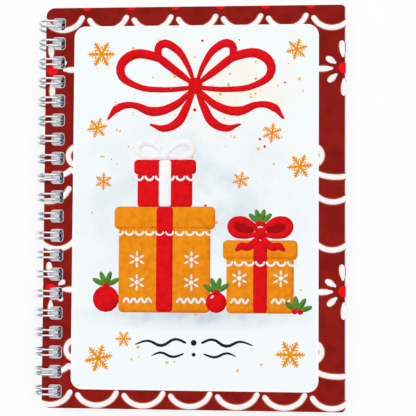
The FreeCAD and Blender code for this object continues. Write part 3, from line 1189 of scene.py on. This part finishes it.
BOW_LOOP_SHARES = (
    # across and up in shares of the bow's reach to one side, share of the ribbon's width
    *((0.04, 0.04, 0.7), (0.3, 0.3, 0.95), (0.66, 0.46, 1.2), (0.97, 0.34, 1.25)),
    *((0.94, 0.06, 1.1), (0.6, -0.08, 0.9), (0.06, -0.03, 0.7)),
)
BOW_TAIL_SHARES = (
    *((0.03, -0.05, 0.8), (0.2, -0.3, 1.0), (0.42, -0.46, 1.2)),
    *((0.66, -0.44, 1.1), (0.86, -0.6, 0.7)),
)
BAUBLES = ((-38.5, -40.2, (11.6, 11.6, 8)), (9.6, -41.4, (9.2, 9.2, 7)))
GLINTS = ((-40.6, -37.6, (3.0, 1.5, 1), 0.8), (7.9, -39.2, (2.4, 1.2, 1), 0.8))
LID_EDGES = ((-35, 9, -10.6), (12.4, 44.6, -23.6), (-26.6, 0.6, 13.4))
WAVE_RUNS = ((-31, -18.4), (-7.6, 5), (15.8, 23.7), (33.3, 41.4))
FLOWERS = ((-25, -23), (-25, -33), (-1.2, -23), (-1.2, -33), (19.6, -31), (37.4, -31))
SPRIGS = (
    # across, up, turns of its leaves
    (-38.5, -34.6, (0.5, 1.25, 1.95, 2.65)),
    (9.6, -37.2, (0.6, 1.3, 1.9, 2.6)),
    (44.5, -45, (0.3, 1.0, 1.7, 2.5)),
    (28.5, -7.6, (0.75, 1.3, 1.85, 2.4)),
)
LEAF_SIZE, BERRY_SIZE, PARCEL_PIPING = (6.2, 2.3, 2), (2.5, 2.5, 2), 0.95
SPRIG_BERRIES = ((-38.5, -34.4), (9.6, -37), (43.3, -45), (45.7, -45.2), (27.6, -7.4), (29.5, -7.4))


def tied_bow(middle, reach, width, *lines):
    """A tied bow of piped ribbon: its loops, and its tails where it has them."""
    x, y = drawn_at(*middle)
    size = reach * MM
    paths = [[(x + across * size, y + up * size, share) for across, up, share in line] for line in lines]
    return new_strokes("bow", both_sides(paths, x), width * MM)


def bow_insides(middle, reach):
    """The shaded inner sides of a bow's two loops."""
    x, y = middle
    size = (0.84 * reach, 0.4 * reach, 0.3 * reach)
    out, up, lean = 0.6 * reach, y + 0.19 * reach, 0.26
    return [drawn_pebble(x + side * out, up, size, side * lean) for side in (-1, 1)]


def lace_paths():
    """Small piped scallops along the lower edges of the parcels' lids."""
    width = 4.6
    paths = []
    for left, right, height in LID_EDGES:
        count = round((right - left) / width)
        step = (right - left) / count
        for number in range(count):
            middle = drawn_at(left + (number + 0.5) * step, height)
            paths.append(arc_path(middle, step * 0.4 * MM, math.pi, 2 * math.pi, 6))
    return paths


def wave_paths():
    """Piped zigzags near the feet of the parcels."""
    middle, swing, width = PARCEL_FOOT + 5.2, 0.9, 1.6
    paths = []
    for left, right in WAVE_RUNS:
        count = max(4, round((right - left) / width))
        wave = []
        for number in range(count + 1):
            up = middle + (swing if number % 2 else -swing)
            wave.append(drawn_at(left + (right - left) * number / count, up))
        paths.append(wave)
    return paths


def piped_flowers():
    """Small piped flowers of six petals on the parcels."""
    reach, eye_size, petal_size = 2.5, (2.0, 2.0, 1), (2.3, 0.95, 1)
    pebbles = []
    for across, up in FLOWERS:
        pebbles.append(drawn_pebble(across, up, eye_size))
        for number in range(6):
            angle = number * math.pi / 3 + math.pi / 6
            petal = (across + reach * math.cos(angle), up + reach * math.sin(angle))
            pebbles.append(drawn_pebble(*petal, petal_size, angle))
    return pebbles


def sprig_leaves():
    """The leaves of the sprigs, fanned out from each sprig's foot."""
    reach = 3.6
    leaves = []
    for across, up, turns in SPRIGS:
        for turn in turns:
            middle = (across + reach * math.cos(turn), up + reach * math.sin(turn))
            leaves.append(drawn_pebble(*middle, LEAF_SIZE, turn))
    return leaves


class CARDBOOK_OT_parcels(bpy.types.Operator):
    """Print a pile of wrapped parcels with ribbons, bows, piping, baubles and sprigs"""

    bl_idname = "cardbook.parcels"
    bl_label = "Parcels"

    def execute(self, context):
        look = context.scene.book_colours
        ginger = ink_material("ginger wrap", look.ginger, look.ginger_deep, shade=0.8, blots=0.5)
        red = ink_material("parcel red", look.ribbon, look.ribbon_deep, shade=0.7, blots=0.45)
        shadow = darker(look.ribbon_deep, 0.6)
        deep_red = ink_material("bow inside", look.ribbon_deep, shadow, shade=0.5, blots=0.3)
        white = ink_material("parcel piping", look.icing, look.icing_shade, shade=0.8, blots=0.15)
        green = ink_material("sprig green", look.leaf_green, look.leaf_deep, shade=0.8, blots=0.5)
        ginger_wraps = [drawn_block(*wrap) for wrap in GINGER_WRAPS]
        on_panel(ginger_wraps, "ginger_parcels", ginger, level=0.0, height=0.03)
        red_wraps = [drawn_block(*wrap) for wrap in RED_WRAPS]
        on_panel(red_wraps, "red_parcel", red, level=0.0, height=0.03)
        on_panel(bow_insides(RED_BOW, RED_BOW_REACH), "bow_insides", deep_red, level=0.02, height=0.02)

        bands = [drawn_block(*band) for band in RED_BANDS]
        baubles = [drawn_pebble(*bauble) for bauble in BAUBLES]
        knot = drawn_pebble(*RED_BOW, RED_KNOT)
        bow = tied_bow(RED_BOW, RED_BOW_REACH, RED_BOW_RIBBON, BOW_LOOP_SHARES, BOW_TAIL_SHARES)
        on_panel([*bands, *baubles, knot, bow], "parcel_ribbons", red, level=0.03, height=0.03)

        pale_band = drawn_block(*PALE_BAND)
        pale_knot = drawn_pebble(*PALE_BOW, PALE_KNOT)
        pale_bow = tied_bow(PALE_BOW, PALE_BOW_REACH, PALE_BOW_RIBBON, BOW_LOOP_SHARES)
        glints = [drawn_pebble(*glint) for glint in GLINTS]
        piping = new_strokes("lace", lace_paths() + wave_paths(), PARCEL_PIPING * MM)
        snow = [pale_band, pale_knot, *piped_flowers(), *glints, piping, pale_bow]
        on_panel(snow, "parcel_piping", white, level=0.045, height=0.03)

        on_panel(sprig_leaves(), "green_sprigs", green, level=0.06, height=0.03)
        berries = [drawn_pebble(across, up, BERRY_SIZE) for across, up in SPRIG_BERRIES]
        on_panel(berries, "sprig_berries", red, level=0.09, height=0.03)
        return {"FINISHED"}


# Dark scroll

SCROLL_LINES = (
    # across, up, share of the line's width
    ((3.2, -59, 0.9), (8, -57.4, 1.0), (14, -60.2, 1.2), (20, -58.2, 0.9), (25.5, -59.8, 0.5)),
    ((4.2, -63.6, 0.6), (9, -65, 1.0), (14.5, -63.2, 0.9), (18.4, -64.6, 0.4)),
)
SCROLL_WIDTH = 1.15
SCROLL_STONES = ((-58.9, 2.6), (-64, 1.7))


class CARDBOOK_OT_scroll(bpy.types.Operator):
    """Print two rows of fine dark scrolls under the parcels"""

    bl_idname = "cardbook.scroll"
    bl_label = "Dark scrolls"

    def execute(self, context):
        look = context.scene.book_colours
        dark = ink_material("dark ink", look.dark_ink, look.dark_ink, shade=0.0, blots=0.2)
        paths = [[drawn_at(*point) for point in line] for line in SCROLL_LINES]
        lines = new_strokes("lines", both_sides(paths, PANEL_MIDDLE.x), SCROLL_WIDTH * MM)
        stones = [drawn_pebble(0, up, (size, size, 2)) for up, size in SCROLL_STONES]
        on_panel([*stones, lines], "dark_scroll", dark, level=0.0, height=0.03)
        return {"FINISHED"}


# Pages

FRAME_GUTTER, FRAME_FORE, FRAME_HEAD = 13.5 * MM, 4.5 * MM, 4.2 * MM
FRAME_LINE, FRAME_INK = 0.55 * MM, 0.012 * MM
PAGE_FLAKE_DROP, PAGE_FLAKE_INK = 7 * MM, 0.015 * MM
SEAM_INSET, SEAM_BAY, SEAM_BREAK = 2.6 * MM, 12.8 * MM, 2.5 * MM
SEAM_WIDTH, SEAM_INK, BAY_LIP = 1.0 * MM, 0.03 * MM, 0.22
CORNER_DOT, POCKET_DAISY, DAISY_PETALS = 4.5 * MM, 9 * MM, 4.4 * MM
POCKET_DOT, POCKET_PETAL = (2.0 * MM, 2.0 * MM, 1 * MM), (4.4 * MM, 1.7 * MM, 1 * MM)


def page_frame():
    """The low and the high corner of the frame that is printed on each page."""
    low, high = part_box("leaf_1")
    return (low.x + FRAME_GUTTER, low.y + FRAME_HEAD), (high.x - FRAME_FORE, high.y - FRAME_HEAD)


def new_frame_line():
    """The fine frame round a page, as flat print."""
    (left, low), (right, high) = page_frame()
    corners = [(left, low), (right, low), (right, high), (left, high)]
    sides = [[first, second] for first, second in zip(corners, corners[1:] + corners[:1])]
    return print_flat(new_strokes("line", sides, FRAME_LINE, sides=1), 0.0, FRAME_INK)


def new_pocket_trim(low, high):
    """The piped seam of a pocket and its thumb notch, with a daisy and two dots, as flat print."""
    left, right = low.x + SEAM_INSET, high.x - SEAM_INSET
    bottom, top = low.y + SEAM_INSET, high.y - SEAM_INSET
    middle, eye = (left + right) / 2, bottom + POCKET_DAISY
    edge = [
        [(middle - SEAM_BAY - SEAM_BREAK, top), (left, top)],
        [(left, top), (left, bottom)],
        [(left, bottom), (right, bottom)],
        [(right, bottom), (right, top)],
        [(right, top), (middle + SEAM_BAY + SEAM_BREAK, top)],
    ]
    bay = arc_path((middle, high.y), SEAM_BAY, math.pi + BAY_LIP, 2 * math.pi - BAY_LIP, 14)
    seam = new_strokes("seam", [*edge, bay], SEAM_WIDTH)
    dot_y = bottom + CORNER_DOT
    places = ((left + CORNER_DOT, dot_y), (right - CORNER_DOT, dot_y), (middle, eye))
    dots = [new_pebble(place, POCKET_DOT) for place in places]
    petals = []
    for number in range(8):
        angle = number * math.pi / 4
        place = (middle + DAISY_PETALS * math.cos(angle), eye + DAISY_PETALS * math.sin(angle))
        petals.append(new_pebble(place, POCKET_PETAL, angle))
    return print_flat(join("trim", [*petals, *dots, seam]), 0.0, SEAM_INK)


class CARDBOOK_OT_pages(bpy.types.Operator):
    """Print a fine frame and a snowflake on each page, and piping on each pocket"""

    bl_idname = "cardbook.pages"
    bl_label = "Page and pocket print"

    def execute(self, context):
        look = context.scene.book_colours
        red = ink_material("page red", look.ribbon, look.ribbon_deep, shade=0.2, blots=0.2)
        white = ink_material("pocket piping", look.icing, look.icing_shade, shade=0.7, blots=0.0)
        gold = bpy.data.materials["gold ink"]
        (left, _), (right, head) = page_frame()
        first_low, first_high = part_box("leaf_1_lower_pocket")
        line = new_frame_line()
        flake = print_flat(snowflake(reach=4.2 * MM, width=0.6 * MM), 0.0, PAGE_FLAKE_INK)
        trim = new_pocket_trim(first_low, first_high)
        for owner, body in PAGES.items():
            if owner == "back":
                face = BACK_HIGH.z
            else:
                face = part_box(owner)[1].z
                rule = copy_piece(line, (0, 0, face))
                dress(name_piece(rule, owner + "_frame"), red, body)
            star = copy_piece(flake, ((left + right) / 2, head - PAGE_FLAKE_DROP, face))
            dress(name_piece(star, owner + "_snowflake"), gold, body)
            for place in ("upper", "lower"):
                low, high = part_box("%s_%s_pocket" % (owner, place))
                piping = copy_piece(trim, (low.x - first_low.x, low.y - first_low.y, high.z))
                name_piece(piping, "%s_%s_piping" % (owner, place))
                dress(piping, white, body)
        remove(line, flake, trim)
        return {"FINISHED"}


# Stage


def floor_material(look):
    """A white floor with painted shade under the book's footprint: the camera sees mostly its own white, and
    the wire sees that from a little way off.
    """
    tree, shader, material = new_material("pale floor", roughness=0.9, specular=0.0)
    white_share, painted_shade_share = 0.75, 0.15
    edge_blend, fade_reach = 2 * MM, 60 * MM
    axes = split_axes(tree, object_place(tree))
    middle, half = (FRONT_LOW + FRONT_HIGH) / 2, (FRONT_HIGH - FRONT_LOW) / 2
    past = []
    for axis, name in enumerate("XY"):
        offset = add_math(tree, "SUBTRACT", axes[name], middle[axis])
        past.append(add_math(tree, "SUBTRACT", add_math(tree, "ABSOLUTE", offset), half[axis]))
    distance = add_math(tree, "MAXIMUM", *past)
    outside = add_range(tree, distance, -edge_blend, 0.0)
    apart = add_range(tree, distance, 0.0, fade_reach)
    # Painted shade: the floor's own colour is dark under the book's footprint, which darkens what is seen
    # through the slots.
    link(tree, add_mix(tree, outside, darker(look.floor, painted_shade_share), look.floor), shader["Base Color"])
    rays = tree.nodes.new("ShaderNodeLightPath").outputs
    thrown = add_math(tree, "MAXIMUM", rays["Is Glossy Ray"], rays["Is Transmission Ray"])
    thrown = add_math(tree, "MULTIPLY", thrown, apart)
    seen = add_math(tree, "MAXIMUM", rays["Is Camera Ray"], thrown)
    seen = add_math(tree, "MULTIPLY", seen, white_share)
    white = tree.nodes.new("ShaderNodeEmission")
    blend = tree.nodes.new("ShaderNodeMixShader")
    link(tree, add_math(tree, "MULTIPLY", seen, outside), blend.inputs["Fac"])
    link(tree, tree.nodes["Principled BSDF"].outputs["BSDF"], blend.inputs[1])
    link(tree, white.outputs["Emission"], blend.inputs[2])
    link(tree, blend.outputs["Shader"], tree.nodes["Material Output"].inputs["Surface"])
    return material


def new_room():
    """A soft room that is brighter above and to the right."""
    world = bpy.data.worlds.new("soft room")
    world.use_nodes = True
    tree = world.node_tree
    axes = split_axes(tree, tree.nodes.new("ShaderNodeTexCoord").outputs["Generated"])
    right_share, back_share = 0.9, 0.35
    reach, dim, bright = 0.9, 0.12, 0.5
    lean = add_math(tree, "MULTIPLY_ADD", axes["X"], right_share, axes["Z"])
    lean = add_math(tree, "MULTIPLY_ADD", axes["Y"], back_share, lean)
    rise = add_range(tree, lean, -reach, reach, dim, bright)
    tone = tree.nodes.new("ShaderNodeCombineColor")
    for socket in tone.inputs:
        link(tree, rise, socket)
    link(tree, tone.outputs["Color"], tree.nodes["Background"].inputs["Color"])
    return world


class CARDBOOK_OT_stage(bpy.types.Operator):
    """Set the floor, the soft light and the camera"""

    bl_idname = "cardbook.stage"
    bl_label = "Stage"

    def execute(self, context):
        scene = context.scene
        clear_pick()
        bpy.ops.mesh.primitive_plane_add(size=60, location=(0, 0, -0.02 * MM))
        floor = name_piece(bpy.context.object, "floor")
        floor.data.materials.append(floor_material(scene.book_colours))
        set_place(floor)

        bpy.ops.object.light_add(type="AREA", location=(0.0, 0.4, 2.2))
        lamp = bpy.context.object
        lamp.name = "soft box"
        lamp.data.shape = "RECTANGLE"
        lamp.data.size = 6.0
        lamp.data.size_y = 3.6
        lamp.data.energy = 71
        lamp.rotation_euler = (-lamp.location).to_track_quat("-Z", "Y").to_euler()
        scene.world = new_room()

        bpy.ops.object.camera_add(location=(0.03703, -0.02548, 0.39855), rotation=(0.0376, 0.0639, 0.0057))
        camera = bpy.context.object
        focal_pixels, shift_pixels = 900, (-8.17, 23.97)
        camera.data.sensor_width = 36
        camera.data.lens = focal_pixels / PHOTO_SIDE * camera.data.sensor_width
        camera.data.shift_x = shift_pixels[0] / PHOTO_SIDE
        camera.data.shift_y = shift_pixels[1] / PHOTO_SIDE
        scene.camera = camera
        scene.view_settings.view_transform = "Standard"
        return {"FINISHED"}


# Panel and registration

STEPS = (
    CARDBOOK_OT_sheets,
    CARDBOOK_OT_wire,
    CARDBOOK_OT_border,
    CARDBOOK_OT_panel,
    CARDBOOK_OT_flakes,
    CARDBOOK_OT_ribbon,
    CARDBOOK_OT_parcels,
    CARDBOOK_OT_scroll,
    CARDBOOK_OT_pages,
    CARDBOOK_OT_stage,
)


class CARDBOOK_PT_panel(bpy.types.Panel):
    """The book's sizes, colours and steps"""

    bl_idname = "CARDBOOK_PT_panel"
    bl_label = "Card Book"
    bl_space_type = "VIEW_3D"
    bl_region_type = "UI"
    bl_category = "Card Book"

    def draw(self, context):
        layout = self.layout
        for step in STEPS:
            layout.operator(step.bl_idname)
        for group in (context.scene.book_sizes, context.scene.book_colours):
            column = layout.column()
            for name in group.__annotations__:
                column.prop(group, name)


CLASSES = (BookSizes, BookColours, *STEPS, CARDBOOK_PT_panel)


def register():
    """Registers the classes and hangs the properties on the scene."""
    for each in CLASSES:
        bpy.utils.register_class(each)
    bpy.types.Scene.book_sizes = bpy.props.PointerProperty(type=BookSizes)
    bpy.types.Scene.book_colours = bpy.props.PointerProperty(type=BookColours)


def unregister():
    """Takes the properties and classes away again."""
    del bpy.types.Scene.book_colours
    del bpy.types.Scene.book_sizes
    for each in reversed(CLASSES):
        bpy.utils.unregister_class(each)


def main():
    """Builds the book step by step."""
    register()
    bpy.ops.cardbook.sheets()
    bpy.ops.cardbook.wire()
    bpy.ops.cardbook.border()
    bpy.ops.cardbook.panel()
    bpy.ops.cardbook.flakes()
    bpy.ops.cardbook.ribbon()
    bpy.ops.cardbook.parcels()
    bpy.ops.cardbook.scroll()
    bpy.ops.cardbook.pages()
    bpy.ops.cardbook.stage()


if __name__ == "__main__":
    main()
